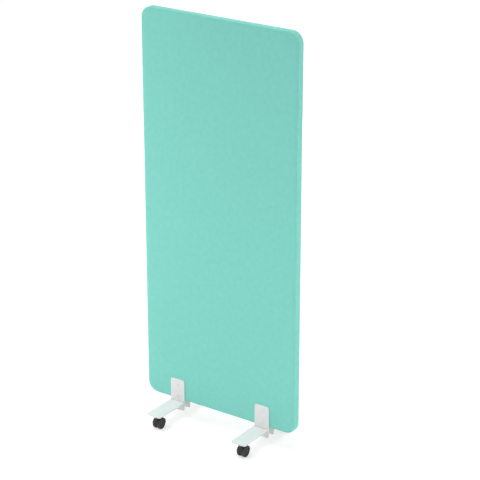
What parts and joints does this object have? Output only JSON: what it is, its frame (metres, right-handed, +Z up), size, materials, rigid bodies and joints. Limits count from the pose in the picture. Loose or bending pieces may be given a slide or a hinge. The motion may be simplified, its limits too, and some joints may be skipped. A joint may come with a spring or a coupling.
{
  "type": "acoustic divider screen",
  "caption": "Free-standing acoustic divider screen: fabric-covered rounded panel clamped between white steel feet on black twin-wheel swivel castors.",
  "frame": {"origin": "on the floor under the middle of the screen", "axes": "+X along the panel to the right seen from the front, +Y through the panel to the rear, +Z up"},
  "size_m": [0.8, 0.41, 1.886],
  "materials": {
    "wool_cover": "woven wool-look upholstery fabric, mint turquoise, matt",
    "wadding": "polyester wadding",
    "timber": "planed softwood",
    "plywood": "sawn birch plywood",
    "absorber": "pressed mineral wool slab",
    "white_coat": "white fine-texture powder coat on steel",
    "zinc_steel": "zinc-plated steel",
    "black_nylon": "moulded black nylon, satin",
    "soft_tread": "soft dark tread"
  },
  "bodies": {
    "screen": {"front_cover": "wool_cover", "rear_cover": "wool_cover", "front_wadding": "wadding", "rear_wadding": "wadding", "left_stile": "timber", "right_stile": "timber", "top_rail": "timber", "middle_rail": "timber", "bottom_rail": "timber", "frame_dowels": "timber", "top_left_corner_block": "plywood", "top_right_corner_block": "plywood", "bottom_left_corner_block": "plywood", "bottom_right_corner_block": "plywood", "left_foot_block": "plywood", "right_foot_block": "plywood", "upper_absorber": "absorber", "lower_absorber": "absorber", "front_left_foot": "white_coat", "front_right_foot": "white_coat", "rear_left_foot": "white_coat", "rear_right_foot": "white_coat", "foot_screws": "white_coat", "sleeve_nuts": "white_coat", "stem_rings": "zinc_steel", "front_left_stem": "zinc_steel", "front_right_stem": "zinc_steel", "rear_left_stem": "zinc_steel", "rear_right_stem": "zinc_steel"},
    "castor_front_left": {"front_left_housing": "black_nylon", "front_left_axle": "zinc_steel"},
    "castor_front_right": {"front_right_housing": "black_nylon", "front_right_axle": "zinc_steel"},
    "castor_rear_left": {"rear_left_housing": "black_nylon", "rear_left_axle": "zinc_steel"},
    "castor_rear_right": {"rear_right_housing": "black_nylon", "rear_right_axle": "zinc_steel"},
    "wheel_front_left_outer": {"front_left_outer_wheel": "black_nylon", "front_left_outer_tread": "soft_tread"},
    "wheel_front_left_inner": {"front_left_inner_wheel": "black_nylon", "front_left_inner_tread": "soft_tread"},
    "wheel_front_right_outer": {"front_right_outer_wheel": "black_nylon", "front_right_outer_tread": "soft_tread"},
    "wheel_front_right_inner": {"front_right_inner_wheel": "black_nylon", "front_right_inner_tread": "soft_tread"},
    "wheel_rear_left_outer": {"rear_left_outer_wheel": "black_nylon", "rear_left_outer_tread": "soft_tread"},
    "wheel_rear_left_inner": {"rear_left_inner_wheel": "black_nylon", "rear_left_inner_tread": "soft_tread"},
    "wheel_rear_right_outer": {"rear_right_outer_wheel": "black_nylon", "rear_right_outer_tread": "soft_tread"},
    "wheel_rear_right_inner": {"rear_right_inner_wheel": "black_nylon", "rear_right_inner_tread": "soft_tread"}
  },
  "joints": [
    {"name": "swivel_front_left", "type": "hinge", "parent": "screen", "child": "castor_front_left", "pos_m": [-0.23, -0.181, 0.058], "axis": [0, 0, 1], "continuous": true},
    {"name": "swivel_front_right", "type": "hinge", "parent": "screen", "child": "castor_front_right", "pos_m": [0.23, -0.181, 0.058], "axis": [0, 0, 1], "continuous": true},
    {"name": "swivel_rear_left", "type": "hinge", "parent": "screen", "child": "castor_rear_left", "pos_m": [-0.23, 0.181, 0.058], "axis": [0, 0, 1], "continuous": true},
    {"name": "swivel_rear_right", "type": "hinge", "parent": "screen", "child": "castor_rear_right", "pos_m": [0.23, 0.181, 0.058], "axis": [0, 0, 1], "continuous": true},
    {"name": "spin_front_left_outer", "type": "hinge", "parent": "castor_front_left", "child": "wheel_front_left_outer", "pos_m": [-0.242, -0.163, 0.025], "axis": [1, 0, 0], "continuous": true},
    {"name": "spin_front_left_inner", "type": "hinge", "parent": "castor_front_left", "child": "wheel_front_left_inner", "pos_m": [-0.218, -0.163, 0.025], "axis": [1, 0, 0], "continuous": true},
    {"name": "spin_front_right_outer", "type": "hinge", "parent": "castor_front_right", "child": "wheel_front_right_outer", "pos_m": [0.242, -0.163, 0.025], "axis": [1, 0, 0], "continuous": true},
    {"name": "spin_front_right_inner", "type": "hinge", "parent": "castor_front_right", "child": "wheel_front_right_inner", "pos_m": [0.218, -0.163, 0.025], "axis": [1, 0, 0], "continuous": true},
    {"name": "spin_rear_left_outer", "type": "hinge", "parent": "castor_rear_left", "child": "wheel_rear_left_outer", "pos_m": [-0.242, 0.163, 0.025], "axis": [1, 0, 0], "continuous": true},
    {"name": "spin_rear_left_inner", "type": "hinge", "parent": "castor_rear_left", "child": "wheel_rear_left_inner", "pos_m": [-0.218, 0.163, 0.025], "axis": [1, 0, 0], "continuous": true},
    {"name": "spin_rear_right_outer", "type": "hinge", "parent": "castor_rear_right", "child": "wheel_rear_right_outer", "pos_m": [0.242, 0.163, 0.025], "axis": [1, 0, 0], "continuous": true},
    {"name": "spin_rear_right_inner", "type": "hinge", "parent": "castor_rear_right", "child": "wheel_rear_right_inner", "pos_m": [0.218, 0.163, 0.025], "axis": [1, 0, 0], "continuous": true}
  ]
}
